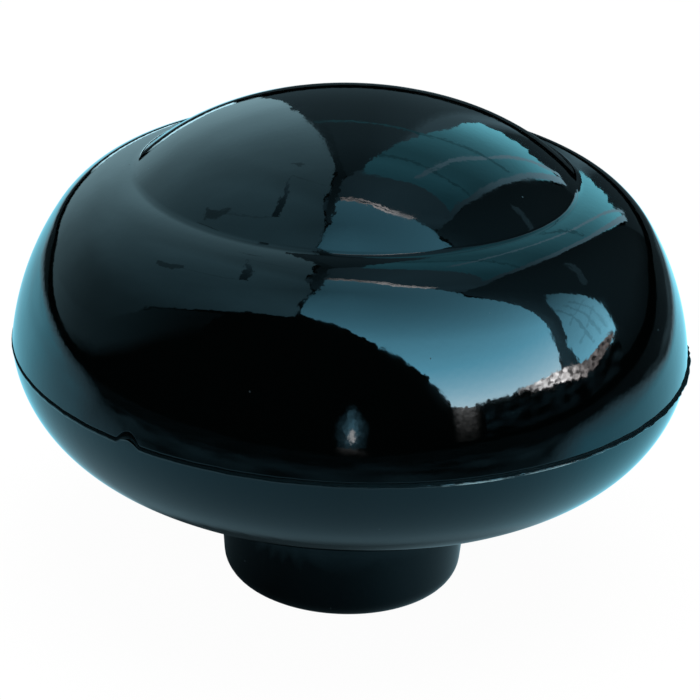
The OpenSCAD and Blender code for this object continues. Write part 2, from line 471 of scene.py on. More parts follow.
def bush_section(s):
    """Half section of the bush from its blind end round to the tip of the drilled hole. share is 1 on
    the knurl's crests and -1 where the thread is cut."""
    collar_r, mouth_r, hole_r = s.width / MM / 2, s.countersink / MM / 2, s.hole_width / MM / 2
    top, collar, depth = BUSH_BOX[1].z / MM, s.collar / MM, s.hole_depth / MM
    knurl_inset, groove_depth, groove_width, blind_end, half_drill_point = 0.2, 0.3, 3.0, 1.5, 59
    end_edge, knurl_edge, collar_edge = 0.3, 0.15, 0.04
    knurl_r = collar_r - knurl_inset
    core_r = knurl_r - s.knurl_depth / MM - groove_depth
    knurl_end = top - blind_end
    groove = (collar + knurl_end - groove_width) / 2
    rows = [(0, top, 0), (core_r - end_edge, top, 0), (core_r, top - end_edge, 0)]
    for a, b in ((knurl_end, groove + groove_width), (groove, collar)):
        rows += [(core_r, a, 0), (knurl_r - knurl_edge, a, 1), (knurl_r, a - knurl_edge, 1),
                 (knurl_r, b + knurl_edge, 1), (knurl_r - knurl_edge, b, 1), (core_r, b, 0)]
    rows += [(core_r, collar, 0), (collar_r, collar, 0), (collar_r, collar_edge, 0),
             (collar_r - collar_edge, 0, 0), (mouth_r, 0, 0)]
    sink = mouth_r - hole_r
    rows += [(mouth_r - sink * i / 9, sink * i / 9, -1) for i in range(9)]
    # the thread has twelve rows a turn, and runs out before the hole's end
    run_out, plain_end = 1.2, 1.4
    z = sink
    while z < depth:
        rows.append((hole_r, z, -min(1.0, max(0.0, (depth - plain_end - z) / run_out))))
        z += s.thread_pitch / MM / 12
    return rows + [(hole_r, depth, 0), (0, depth + hole_r / math.tan(math.radians(half_drill_point)), 0)]


def bush_displace(tree, given, angle, radius, height, share):
    """Teeth on the outside where share is above 0, and a right-hand thread in the hole where it is less."""
    size = extra_inputs(tree, given, ("Teeth", "Knurl Depth", "Pitch", "Thread Depth", "Hole Radius"))
    turn = angle / (2 * math.pi)
    tooth = (turn * (size["Teeth"] * 2.0)).step("PINGPONG", 1.0)
    teeth = tooth * size["Knurl Depth"] * share.step("MAXIMUM", 0.0)
    # a 60 degree vee, flat over a quarter of the pitch at its crest and an eighth at its root
    phase = (height / size["Pitch"] - turn).step("FLOORED_MODULO", 1.0)
    vee = (phase - 0.5).step("ABSOLUTE") * -1.0 + 0.375
    groove = (vee / 0.3125).step("MAXIMUM", 0.0).step("MINIMUM", 1.0)
    cut = groove * size["Thread Depth"] * (share * -1.0).step("MAXIMUM", 0.0)
    threaded = (size["Hole Radius"] + cut) * share.step("LESS_THAN", 0.0)
    return angle, radius.step("MAXIMUM", threaded) - teeth, height


class GEARKNOB_OT_bush(bpy.types.Operator):
    """Make the knurled brass bush with its M10 thread"""
    bl_idname = "gearknob.bush"
    bl_label = "Threaded Bush"

    def execute(self, context):
        s = context.scene.gear_knob_bush
        section = section_object("bush_section", bush_section(s))
        tree = turned_tree("Bush Turning", bush_displace)
        bush = grown("threaded_bush_brass", tree, {
            "Section": section, "Columns": s.knurl_teeth * 6, "Material": turned_brass(s),
            "Teeth": float(s.knurl_teeth), "Knurl Depth": s.knurl_depth, "Pitch": s.thread_pitch,
            "Thread Depth": s.thread_depth, "Hole Radius": s.hole_width / 2})
        bpy.data.objects.remove(section)
        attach(bush, "root")
        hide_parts("threaded_bush")
        return {"FINISHED"}


# ---------------------------------------------------------------- materials

def new_material(name):
    material = bpy.data.materials.new(name)
    material.use_nodes = True
    tree = material.node_tree
    tree.nodes.clear()
    return material, tree


def black_phenolic(s):
    """Phenolic plastic, compression moulded in a polished steel mould: near black all through, with a
    mirror gloss that is only broken by faint ripples, rub marks and dust."""
    material, tree = new_material("Black phenolic, polished mould gloss")
    where = add(tree, "ShaderNodeTexCoord").outputs["Object"]
    # ripples left by the flow of the plastic, 6 mm long and too low to feel
    flow = add(tree, "ShaderNodeTexNoise",
               {"Vector": where, "Scale": 160.0, "Detail": 2.0, "Roughness": 0.4})
    # orange peel that the mould's polish left, in cells half a millimetre wide
    peel = add(tree, "ShaderNodeTexNoise",
               {"Vector": where, "Scale": 1900.0, "Detail": 1.5, "Roughness": 0.5})
    # rub marks from handling, 3 mm patches that dull the gloss a little
    rub = add(tree, "ShaderNodeTexNoise",
              {"Vector": where, "Scale": 330.0, "Detail": 5.0, "Roughness": 0.6})
    dull = add(tree, "ShaderNodeMapRange",
               {"Value": rub, "From Min": 0.45, "From Max": 0.75, "To Min": 0.03, "To Max": 0.08})
    # specks of dust 0.15 mm wide, where the cells of a fine pattern come closest to their middles
    dust = add(tree, "ShaderNodeTexVoronoi", {"Vector": where, "Scale": 420.0, "Randomness": 1.0})
    near = add(tree, "ShaderNodeMapRange",
               {"Value": dust, "From Min": 0.02, "From Max": 0.04, "To Min": 1.0, "To Max": 0.0})
    some = add(tree, "ShaderNodeMath", {0: dust.outputs["Color"], 1: 0.6}, operation="GREATER_THAN")
    speck = add(tree, "ShaderNodeMath", {0: near, 1: some}, operation="MULTIPLY")
    # the flash was trimmed with a file, which left it matt and ragged
    tooth = add(tree, "ShaderNodeTexNoise", {"Vector": where, "Scale": 1500.0, "Detail": 3.0})
    trimmed = add(tree, "ShaderNodeAttribute", attribute_name="trimmed").outputs["Fac"]
    edge = add(tree, "ShaderNodeMath", {0: trimmed, 1: tooth}, operation="ADD")
    filed = add(tree, "ShaderNodeMapRange", {"Value": edge, "From Min": 0.9, "From Max": 1.05})
    rough = add(tree, "ShaderNodeMix", {"Factor": filed, "A": dull, "B": 0.75})
    rough = add(tree, "ShaderNodeMix", {"Factor": speck, "A": rough, "B": 0.6})
    # partly real and partly painted shade: the filed band reflects less, which is its matt filing and also
    # paints the shade of the seam's groove as a dark line
    filed_dull_and_painted_shade = add(tree, "ShaderNodeMapRange", {"Value": filed, "To Min": 0.5, "To Max": 0.12})
    # painted highlight: on one side a thin broken pale teal-grey line is painted on the flash, where its
    # rim catches the light
    seam_highlight_way = (math.cos(s.seam_highlight_side), math.sin(s.seam_highlight_side), 0)
    side = add(tree, "ShaderNodeVectorMath", {0: where, 1: seam_highlight_way}, operation="DOT_PRODUCT")
    highlight_side_mask = add(tree, "ShaderNodeMapRange",
                {"Value": side.outputs["Value"], "From Min": 26.4 * MM, "From Max": 27.3 * MM})
    height = add(tree, "ShaderNodeSeparateXYZ", {0: where}).outputs["Z"]
    off = add(tree, "ShaderNodeMath", {0: height, 1: s.parting_height - 0.1 * MM}, operation="SUBTRACT")
    off = add(tree, "ShaderNodeMath", {0: off}, operation="ABSOLUTE")
    ridge = add(tree, "ShaderNodeMapRange", {"Value": off, "From Min": 0.12 * MM, "From Max": 0.06 * MM})
    gaps = add(tree, "ShaderNodeMapRange", {"Value": rub, "From Min": 0.4, "From Max": 0.55})
    pale = add(tree, "ShaderNodeMath", {0: highlight_side_mask, 1: ridge}, operation="MULTIPLY")
    pale = add(tree, "ShaderNodeMath", {0: pale, 1: gaps}, operation="MULTIPLY")
    colour = add(tree, "ShaderNodeMix", {"Factor": speck, "A": s.black, "B": rgb("#22292C")},
                 data_type="RGBA").outputs["Result"]
    # the pale teal-grey mixed in here is the painted seam highlight
    colour = add(tree, "ShaderNodeMix", {"Factor": pale, "A": colour, "B": rgb("#7F9CA3")},
                 data_type="RGBA").outputs["Result"]
    waves = add(tree, "ShaderNodeBump", {"Height": flow, "Strength": 0.05, "Distance": 0.3 * MM})
    cells = add(tree, "ShaderNodeBump",
                {"Height": peel, "Strength": 0.012, "Distance": 0.3 * MM, "Normal": waves})
    # the specular tint carries the painted teal of the room's light
    shader = add(tree, "ShaderNodeBsdfPrincipled", {
        "Base Color": colour, "Roughness": rough, "IOR": 1.5, "Specular Tint": s.mirrored_light_tint,
        "Specular IOR Level": filed_dull_and_painted_shade, "Normal": cells})
    add(tree, "ShaderNodeOutputMaterial", {"Surface": shader})
    return material


def turned_brass(s):
    """Free-cutting brass, turned on a lathe: fine rings from the tool, and a little dull with tarnish."""
    material, tree = new_material("Free-cutting brass, turned")
    where = add(tree, "ShaderNodeTexCoord").outputs["Object"]
    part = add(tree, "ShaderNodeSeparateXYZ", {0: where})
    level = add(tree, "ShaderNodeCombineXYZ", {"X": part.outputs["X"], "Y": part.outputs["Y"]})
    out = add(tree, "ShaderNodeVectorMath", {0: level}, operation="LENGTH").outputs["Value"]
    # a facing cut's rings, 0.08 mm apart, run on up the wall as a fine screw
    feed = add(tree, "ShaderNodeMath", {0: out, 1: part.outputs["Z"]}, operation="ADD")
    feed = add(tree, "ShaderNodeMath", {0: feed, 1: 2 * math.pi / (0.08 * MM)}, operation="MULTIPLY")
    rings = add(tree, "ShaderNodeMath", {0: feed}, operation="SINE")
    # tarnish in blooms 4 mm wide
    bloom = add(tree, "ShaderNodeTexNoise",
                {"Vector": where, "Scale": 260.0, "Detail": 6.0, "Roughness": 0.65})
    spread = add(tree, "ShaderNodeMapRange", {"Value": bloom, "From Min": 0.4, "From Max": 0.7})
    colour = add(tree, "ShaderNodeMix", {"Factor": spread, "A": s.brass, "B": rgb("#B0853F")},
                 data_type="RGBA").outputs["Result"]
    rough = add(tree, "ShaderNodeMapRange",
                {"Value": bloom, "From Min": 0.35, "From Max": 0.7, "To Min": 0.2, "To Max": 0.36})
    bump = add(tree, "ShaderNodeBump", {"Height": rings, "Strength": 0.12, "Distance": 0.01 * MM})
    shader = add(tree, "ShaderNodeBsdfPrincipled",
                 {"Base Color": colour, "Metallic": 1.0, "Roughness": rough, "Normal": bump})
    add(tree, "ShaderNodeOutputMaterial", {"Surface": shader})
    return material


# ---------------------------------------------------------------- the set that the gloss mirrors

def at(azimuth, elevation, radius=2.0):
    """Point of the set's dome. Azimuth 0 is straight behind the knob and 90 to its right."""
    a, e = math.radians(azimuth), math.radians(elevation)
    return Vector((math.sin(a) * math.cos(e), math.cos(a) * math.cos(e), math.sin(e))) * radius


def ramp(x, points):
    """Value at x of a line through (x, value) points, level beyond its ends."""
    for (x0, v0), (x1, v1) in zip(points, points[1:]):
        if x <= x1:
            return v0 + (v1 - v0) * max(0.0, x - x0) / max(x1 - x0, 1e-6)
    return points[-1][1]


def lumps_at(a, e, across, up, layer):
    """Smooth noise from about -1 to 1 on the dome, across and up being its lumps to a degree."""
    return noise.noise(Vector((a * across, e * up, layer)))


def glow_material(name, colour, pale_from=50.0, pale="#FFE6DE"):
    """Light that a card gives off. The mesh stores its level: at 1 the tinted gloss mirrors as much green
    from it as a plain gloss would from white. Past pale_from the colour bleaches towards a warm white."""
    material, tree = new_material(name)
    level = add(tree, "ShaderNodeAttribute", attribute_name="level").outputs["Fac"]
    bleach = add(tree, "ShaderNodeMapRange",
                 {"Value": level, "From Min": pale_from, "From Max": pale_from * 2.2})
    shown = add(tree, "ShaderNodeMix", {"Factor": bleach, "A": colour, "B": rgb(pale)}, data_type="RGBA")
    strength = add(tree, "ShaderNodeMath", {0: level, 1: 1 / (MIRRORED_GREEN * colour[1])},
                   operation="MULTIPLY")
    glow = add(tree, "ShaderNodeEmission", {"Color": shown.outputs["Result"], "Strength": strength})
    add(tree, "ShaderNodeOutputMaterial", {"Surface": glow})
    material.cycles.emission_sampling = "NONE"
    return material


def sheet(name, across, along, place, level, material):
    """Part of the set: a grid of points from place(u, v), whose light is level(u, v). The gloss mirrors
    it, and nothing else sees it."""
    spots = [(i / across, j / along) for i in range(across + 1) for j in range(along + 1)]
    corners = [i * (along + 1) + j for i in range(across) for j in range(along)]
    thing = mesh_object(name, [place(u, v) for u, v in spots],
                        [(k, k + 1, k + along + 2, k + along + 1) for k in corners])
    thing.data.materials.append(material)
    levels = thing.data.attributes.new("level", "FLOAT", "POINT")
    levels.data.foreach_set("value", [level(u, v) for u, v in spots])
    for way in ("camera", "diffuse", "shadow", "transmission"):
        setattr(thing, "visible_" + way, False)


def card(name, first, second, material, light, radius=2.0, ragged=0.0, lumps=6.0, soft=0.0):
    """A card of the set, radius metres off, between two lines of as many (azimuth, elevation) points.
    light gives its level at an azimuth and elevation, or is one level. ragged is how many degrees its
    first edge wanders in or out, lumps how many degrees that takes, and soft the share of its width over
    which that edge fades in."""
    spans = len(first) - 1
    reach = max(abs(p[0] - q[0]) + abs(p[1] - q[1])
                for line in (first, second) for p, q in zip(line, line[1:]))
    across = spans * max(2, min(60, int(reach / (0.4 if ragged else 2.0))))

    def spot(u, v):
        k = min(int(u * spans), spans - 1)
        share = u * spans - k
        low = Vector(first[k]).lerp(Vector(first[k + 1]), share)
        high = Vector(second[k]).lerp(Vector(second[k + 1]), share)
        if ragged:
            where = Vector((low.x / lumps, low.y / lumps, radius * 7))
            wave = noise.noise(where) + 0.5 * noise.noise(where * 2.7) + 0.35 * noise.noise(where * 7.1)
            low += (high - low).normalized() * ragged * wave
        return low.lerp(high, v)

    def level(u, v):
        azimuth, elevation = spot(u, v)
        fade = min(1.0, v / soft) if soft else 1.0
        return fade * (light(azimuth, elevation) if callable(light) else light)

    sheet(name, across, 24, lambda u, v: at(*spot(u, v), radius), level, material)


def table_light(x, y):
    """Light of the table top at a place in millimetres: dark where the knob's shadow is painted into it,
    weaker towards its front, and cut off where it ends at the back, on the right and in front."""
    away, side = math.hypot(x, y), math.degrees(math.atan2(x, y))
    # painted shadow: the level of the table's light right under the knob, where the knob shades it
    under = ramp(side, [(-180, 0.05), (-140, 0.02), (-60, 0.03), (60, 0.45), (80, 0.24), (120, 0.2),
                        (140, 0.17), (165, 0.08), (180, 0.05)])
    inner = ramp(side, [(-180, 0.38), (-120, 0.36), (-100, 0.3), (-80, 0.5), (-60, 0.75), (60, 0.66),
                        (80, 0.74), (100, 0.56), (140, 0.42), (180, 0.38)])
    outer = ramp(side, [(-180, 0.43), (-150, 0.47), (-120, 0.56), (-100, 0.6), (-80, 0.7), (-60, 0.95),
                        (-40, 0.84), (-10, 0.9), (20, 1.18), (50, 1.2), (80, 0.92), (105, 0.92),
                        (130, 0.64), (160, 0.48), (180, 0.43)])
    end = ramp(side, [(-180, 76), (-140, 78), (-120, 85), (-100, 130), (-88, 270), (-70, 390), (-55, 350),
                      (-40, 230), (-20, 240), (-6, 190), (-2, 95), (12, 95), (18, 125), (40, 132),
                      (60, 128), (75, 150), (90, 178), (106, 160), (113, 126), (119, 92), (128, 80),
                      (180, 76)])
    soft = ramp(side, [(-180, 0.2), (-130, 0.3), (-100, 0.6), (-80, 0.4), (-50, 0.2), (60, 0.12),
                       (90, 0.4), (180, 0.2)])
    patches = 1 + 0.1 * noise.noise(Vector((x, y, 0)) / 45)
    # painted shadow: nearer the knob the table's light drops from inner to the level under the knob
    near = ramp(away, [(10, under), (17, under + 0.03), (19, 0.72 * inner), (22, 1.03 * inner),
                       (34, 0.4 * inner + 0.6 * outer), (50, outer)])
    beyond = ramp(away, [(150, 0.09), (230, 0.02)]) * (1 + 1.4 * noise.noise(Vector((x, y, 70)) / 28))
    on_table = near * patches * ramp(away / end, [(1 - soft, 1), (1 + soft, 0.03)])
    return max(on_table, beyond if away > end else 0)


def wall_light(a, e):
    """Light of the left wall at an azimuth and an elevation, as in the functions that follow. It falls
    off towards its near end and is evener high up, in faint clouds."""
    low = ramp(a, [(-112, 0.05), (-104, 0.1), (-90, 0.17), (-75, 0.21), (-60, 0.34), (-45, 0.5),
                   (-30, 0.74), (-8, 1.05)])
    high = ramp(a, [(-150, 0.64), (-120, 0.58), (-90, 0.5), (-60, 0.58), (-45, 0.62), (-30, 0.5)])
    share = ramp(e, [(14, 0), (60, 1)])
    clouds = 1 + 0.1 * noise.noise(at(a, e, 4.0)) + 0.05 * noise.noise(at(a, e, 13.0))
    dim_ends = ramp(e, [(0, 0.62), (12, 0.8), (20, 0.85), (28, 1), (68, 1), (80, 0.8)])
    return (low * (1 - share) + high * share) * clouds * dim_ends


def day_light(a, e):
    """Light of the large window and the ceiling that runs on from it: strongest near the horizon, and
    weaker towards the back and the left."""
    side = ramp(a, [(-180, 1.04), (-150, 0.95), (-135, 0.86), (-110, 0.64), (-90, 0.52), (-60, 0.64),
                    (-30, 0.74), (0, 0.83), (90, 0.87), (120, 0.9), (150, 0.97), (180, 1.04)])
    side += (0.86 - side) * ramp(e, [(80, 0), (90, 1)])
    return side * (0.8 + 12.8 * math.exp(-(e - 8) / 24))


def small_window_light(a, e):
    return ramp(e, [(8, 6.2), (12, 5.8), (20, 4.0), (33, 1.95), (44, 0.8)])


def strip_light(a, e):
    """Light of the sunlit strips along the ceiling's back edge, which are brightest on the right."""
    grain = 0.9 + 0.5 * noise.noise(at(a, e, 30.0))
    return ramp(a, [(-15, 1.6), (10, 3.0), (45, 5.5), (66, 4.5)]) * grain


def street_light(a, e):
    """Light of the sunlit street: one bright band, broken up by what stands in front of it."""
    broken = lumps_at(a, e, 0.55, 0.8, 3.0) + 0.5 * lumps_at(a, e, 1.6, 2.2, 8.0)
    band = ramp(a, [(76, 1.2), (82, 1.5), (93, 1.6), (99, 5.5), (105, 14.0), (112, 12.5), (122, 5.0)])
    return band * max(0.1, 0.75 + 1.5 * broken)


def street_patch_light(a, e):
    """Light of a sunlit patch at the street's end, which is brightest at its top."""
    up = ramp(e, [(-2, 0.02), (3, 0.2), (6, 0.6), (9, 1.0), (10.5, 1.5), (12.5, 2.6)])
    across = math.exp(-((a - 141.2) / 3.6) ** 4)
    return 0.75 * up * across * (0.9 + 1.1 * lumps_at(a, e, 0.7, 1, 7.0))


def doorway_light(a, e):
    """Light of the lit doorway behind the camera, narrow at its top, with a glow round its lamp."""
    cells = 0.9 + 0.9 * lumps_at(a, e, 0.9, 0.6, 5.0) + 0.4 * lumps_at(a, e, 3, 2, 2.0)
    up = ramp(e, [(-3, 0.1), (0, 0.3), (5, 0.4), (9, 0.62), (12, 0.5), (14.5, 0.8), (16, 0.1)])
    width = ramp(e, [(0, 3.4), (5, 4.3), (10, 4.0), (12.5, 2.8), (15, 1.2)])
    room = up * math.exp(-((a - 178.3) / width) ** 4)
    return cells * (room + 2.0 * math.exp(-((a - 178.1) / 1.5) ** 2 - ((e - 7) / 4) ** 2))


def table_spot(u, v):
    """Place on the table top in millimetres, whose points stand closer together near the knob."""
    reach, crowding = 420, 0.7
    return [reach * (2 * share - 1) * abs(2 * share - 1) ** crowding for share in (u, v)]


def make_black_and_table(glow):
    """Black cloth all round and on the floor, and a pale table on it. Flat sheets are a hair apart."""
    card("black_cloth", [(-180, -89.9), (0, -89.9), (180, -89.9)], [(-180, 89.9), (0, 89.9), (180, 89.9)],
         glow["black"], 0.0, 2.2)
    sheet("black_floor_cloth", 2, 2, lambda u, v: (4.6 * u - 2.3, 4.6 * v - 2.3, 0.02 * MM),
          lambda u, v: 0.0, glow["black"])
    sheet("table_top", 180, 180, lambda u, v: (*(c * MM for c in table_spot(u, v)), 0.05 * MM),
          lambda u, v: table_light(*table_spot(u, v)), glow["table"])


def make_wall(glow):
    """Wall on the left, with a rail, cables and hooks on it"""
    wall, grey = glow["wall"], glow["grey"]
    card("wall", [(-149, 59), (-129, 54), (-115, 44.5), (-101, 30.5), (-86, 13), (-68, 6), (-45, 0.5),
                  (-7, 0.5), (-7, 20)],
         [(-146, 66), (-128, 77.5), (-114, 80.2), (-100, 81.6), (-84, 82), (-64, 81), (-40, 78.4),
          (-16, 69.2), (-6.5, 57)],
         wall, wall_light, 2.0, 0.7, 7.0)
    card("wall_foot", [(-122, 30), (-110, 20), (-100, 10), (-88, 2), (-74, -2), (-60, -3), (-7, -3)],
         [(-122, 46), (-110, 38), (-99, 27), (-85, 14), (-68, 8), (-58, 4), (-7, 4)], wall,
         lambda a, e: ramp(a, [(-118, 0.03), (-108, 0.06), (-94, 0.12), (-75, 0.17), (-55, 0.3)]),
         2.05, soft=0.35)
    card("rail", [(-24.5, 57.4), (-32.5, 61.3), (-43.5, 64.9), (-57, 66.6), (-73, 67)],
         [(-25.5, 58.2), (-34, 62.7), (-44, 66.9), (-57, 68.6), (-72.5, 68.8)], grey,
         lambda a, e: ramp(a, [(-80, 0.08), (-50, 0.16), (-30, 0.3)]), 1.9, 0.3, 4.0)
    card("cable", [(-23.7, 57.7), (-23, 60.5), (-21, 63.3), (-16, 67)],
         [(-24.6, 57.7), (-23.8, 60.6), (-21.8, 63.4), (-17, 67)], wall,
         lambda a, e: 0.8 * wall_light(a, e), 1.9)
    card("rail_cable", [(-72, 68.4), (-74, 64), (-72.5, 61), (-70, 57.5), (-67, 52)],
         [(-72, 67.6), (-72.4, 63.8), (-71, 61), (-68.6, 57.4), (-66, 52)], wall,
         lambda a, e: 0.78 * wall_light(a, e), 1.9)
    card("hook", [(-67, 46.4), (-70, 50.3), (-66.6, 54)], [(-61, 46.4), (-64, 50.3), (-62, 54)], wall,
         lambda a, e: 0.5 * wall_light(a, e), 1.89, 0.6, 3.0)
    card("hook_low", [(-20, 51.3), (-17.4, 52.5)], [(-18.4, 54), (-16.2, 54)], wall,
         lambda a, e: 0.6 * wall_light(a, e), 1.89, 0.4, 3.0)


def make_post_and_soffit(glow):
    """Post and soffit between the wall and the windows, and the dark gap along the wall's edge"""
    grey = glow["grey"]
    card("post", [(-7.3, 2), (-8.4, 30), (-7, 61)], [(14, 2), (14, 30), (7.3, 60.6)], grey,
         lambda a, e: ramp(e, [(0, 0.08), (20, 0.09), (45, 0.13), (58, 0.1), (64, 0.07)])
         * ramp(a, [(2, 1), (9, 1.3), (10.3, 2.6)]), 1.98)
    card("soffit", [(-45, 78.6), (-23, 73.3), (-11, 66.8), (-3.2, 61), (1, 58.8), (25.4, 59.3),
                    (44.5, 60.3), (58.7, 60.2), (78, 64)],
         [(-45, 86), (-18, 84), (-9, 83), (-3, 83), (5.5, 83), (19, 83), (34, 83), (51, 81), (84, 72)],
         grey,
         lambda a, e: ramp(a, [(-12, 0.2), (0, 0.25), (20, 0.31), (60, 0.29), (72, 0.34), (84, 0.2)])
         * ramp(e, [(61, 0.9), (66, 1.0), (74, 1.1)]), 1.97, 0.5, 8.0)
    card("gap", [(-8.5, 20), (-7.4, 55), (-7.5, 60), (-15.2, 69.8), (-31.4, 76.8), (-48.5, 80.1),
                 (-83, 82.7)],
         [(-6.2, 20), (-5.1, 56), (-4.4, 60.7), (-11.4, 71.3), (-24.2, 78), (-39.7, 81.8), (-78, 83.8)],
         grey,
         lambda a, e: ramp(e, [(50, 0.1), (62, 0.05), (76, 0.08), (82, 0.14)]), 1.88, 0.3, 4.0)


def make_back_window(glow):
    """Back window over the street's roofs, with bars across it and a dark pane beside it"""
    sky, grey = glow["sky"], glow["grey"]
    card("back_window", [(12, 7), (13.2, 27), (11, 38.6), (7, 49), (2.4, 56.2), (1.7, 60)],
         [(27.5, 7), (34.7, 27), (37.8, 36.5), (41, 44), (49.4, 56), (60, 62.7)], sky,
         lambda a, e: ramp(a, [(33, 1), (45, 0.8)])
         * ramp(e, [(8, 1.0), (13, 1.45), (18, 1.35), (22, 1.2), (27, 0.9), (33, 0.68), (38, 0.6),
                    (46, 0.42), (50, 0.46), (54, 0.6), (60, 0.5)]), 1.95, 0.3, 4.0)
    card("street_tops", [(11, 13.5), (13, 13.5), (16, 13.2), (20, 13.6), (23, 15.2), (26, 13), (32, 12)],
         [(a, 2) for a in (11, 13, 16, 20, 23, 26, 32)], grey,
         lambda a, e: ramp(a, [(12, 0.25), (15, 0.05)]), 1.9, 1.6, 2.2)
    card("bar_level", [(-7.4, 32.2), (0, 33.2), (11.6, 34.7), (20, 33), (31.5, 32.2)],
         [(-7.4, 33), (0, 34), (11.6, 35.9), (20, 34.3), (31.5, 33.3)], sky,
         lambda a, e: 0.24 if a < 11 else 0.42, 1.85, 0.2)
    card("bar_high", [(6, 50.1), (12.5, 49.9), (20.6, 50.3), (31, 52.6), (45, 52.7)],
         [(6, 51.5), (12.5, 51.1), (20.6, 51.2), (31, 53.3), (45, 53.3)], sky, 0.32, 1.85, 0.2)
    card("bar_upright", [(25.6, 10), (23.2, 31.4), (21, 44), (20.2, 57)],
         [(26.8, 10), (24.6, 31.6), (22.4, 44), (22, 57)], grey,
         lambda a, e: ramp(e, [(10, 1.1), (40, 0.8), (60, 0.6)]), 1.85, 0.2)
    card("pane_line", [(29.5, 11), (33.6, 27), (37.5, 38.3), (42.6, 47), (52.2, 57), (66, 63.8)],
         [(27.2, 11), (31.4, 27.8), (35.2, 39.5), (40.2, 48.7), (50.6, 58.8), (65.5, 65.3)], grey,
         lambda a, e: ramp(e, [(10, 1.1), (40, 0.7), (52, 0.4), (66, 0.25)]), 1.86, 0.3)
    card("dark_pane", [(29.5, 2), (33.6, 27), (37.5, 38.3), (42.6, 47), (52.2, 57), (74, 65.7)],
         [(104, 2), (102, 24), (101, 36), (98, 47), (94, 58), (86, 68)], grey,
         lambda a, e: ramp(a, [(30, 0.03), (60, 0.09), (79, 0.12), (88, 0.17), (96, 0.3), (100, 0.6)])
         * ramp(e, [(2, 0.3), (10, 0.8), (30, 1)]), 1.92)
    card("pane_streak", [(50, 42.7), (58, 39.4), (69, 33.3)], [(51, 39.7), (60, 36.2), (68, 31.2)], grey,
         0.25, 1.9, 0.4, 3.0)


def make_right_windows(glow):
    """Small window with thin crossed bars, and the large window over a ragged skyline, with the ceiling
    that runs on from it and two sunlit strips along the ceiling's edge"""
    day = glow["day"]
    card("small_window", [(75, 10), (79, 8.4), (86, 9), (96, 10.4), (97.8, 18.5)],
         [(75.4, 30), (78, 38), (81.5, 44), (89, 39), (94, 28)], day, small_window_light, 1.82, 0.7, 2.5)
    for i, slant in enumerate((79, 83, 87.5)):
        card("thin_bar_%d" % i, [(slant - 1, 13), (slant + 3, 33)], [(slant + 0.1, 13), (slant + 4.1, 33)],
             day, lambda a, e: 0.74 * small_window_light(a, e), 1.78, 0.3, 2.0)
    for i, height in enumerate((19, 25.5)):
        card("thin_cross_%d" % i, [(78, height + 2), (93, height - 3)],
             [(78, height + 2.7), (93, height - 2.3)], day,
             lambda a, e: 0.78 * small_window_light(a, e), 1.78, 0.3, 2.0)
    card("large_window", [(104, 13.2), (116, 13), (125, 13.3), (133, 13.3), (139.5, 12.8), (145.5, 13.2),
                          (148.5, 20), (153.5, 28), (161, 35), (168.5, 39.5), (173, 44.5), (180, 52)],
         [(92, 66)] + [(98 + 8.2 * i, 89.9) for i in range(11)], day, day_light, 1.88, 1.2, 3.5)
    edge = [(-180, 52), (-172, 57.5), (-158, 60.5), (-150, 63), (-144.5, 69.5), (-131, 77.2), (-112, 81.6),
            (-84, 83.6), (-39, 82), (-29, 79.8), (-22, 77.4), (-14.6, 76), (-1.4, 76.4), (8.4, 77.3),
            (41, 78.5), (52.4, 77.2), (65, 74.8), (76.4, 71), (84, 68.2), (92, 66), (104, 65)]
    card("ceiling", edge, [(a, 89.9) for a, _ in edge], day, day_light, 1.9, 0.3, 6.0)
    along = [(-15, 76), (-1.4, 76.4), (8.4, 77.3), (41, 78.5), (54, 77), (66, 74)]
    for name, low, high in (("ceiling_strip", -0.35, 0.55), ("ceiling_strip_low", -1.4, -0.85)):
        card(name, [(a, e + low) for a, e in along], [(a, e + high) for a, e in along], glow["warm"],
             strip_light, 1.84, 0.12, 2.0)


def make_street_and_doorway(glow):
    """Sunlit street under the windows with dim patches below it, a lit doorway behind the camera with a
    lamp in it and its light on the floor, and a pale floor far behind on the left, which only the crease
    mirrors"""
    warm, grey = glow["warm"], glow["grey"]
    card("street_glare", [(77, 8.6), (84, 8), (92, 7), (98, 7.4), (103, 8.8), (110, 10.4), (122, 12.4)],
         [(77, 11), (84, 11.6), (92, 10.8), (98, 11.6), (103, 13.2), (110, 13.6), (122, 13.6)], warm,
         street_light, 1.8, 1.1, 2.0)
    card("street_dim", [(76, 0), (100, -2), (125, -2), (137, -2)],
         [(76, 8), (100, 9.5), (125, 10.5), (137, 11)], grey,
         lambda a, e: max(0, 0.05 + 0.16 * lumps_at(a, e, 0.22, 0.4, 1.0)) * ramp(e, [(-2, 0.1), (6, 1)]),
         1.9, 1.5, 3.0)
    card("street_patch", [(135, -2), (141.5, -3), (148, -1)], [(135, 12), (141.5, 12.8), (148, 13.6)],
         warm, street_patch_light, 1.86, 0.7, 2.0)
    card("doorway", [(173, -5), (178.5, -5), (184, -5)], [(173, 17.5), (178.5, 17.5), (184, 17.5)], grey,
         doorway_light, 1.8, 0.3, 2.0)
    card("doorway_lamp", [(176.8, 3.4), (177.9, 1.8), (179.2, 3)],
         [(177.2, 6.6), (178.2, 7.6), (179.1, 6)], warm,
         lambda a, e: 5.5 + 4.5 * lumps_at(a, e, 1.7, 1.3, 6.0), 1.78, 0.5, 0.8)
    sheet("far_floor", 12, 12,
          lambda u, v: at(-19 + 10.5 * u, 0, 0.6 + 1.5 * v) + Vector((0, 0, 0.07 * MM)),
          lambda u, v: 1.8 * ramp(u, [(0, 0.2), (0.3, 1), (1, 1)]), glow["wall"])
    sheet("doorway_on_floor", 24, 40,
          lambda u, v: (0.02 + (u - 0.5) * 0.22 * (0.5 + v), -0.36 - 1.4 * v, 0.08 * MM),
          lambda u, v: 0.5 * math.exp(-((u - 0.5) / 0.26) ** 4) * ramp(v, [(0, 0), (0.2, 0.5), (1, 1)]),
          warm)


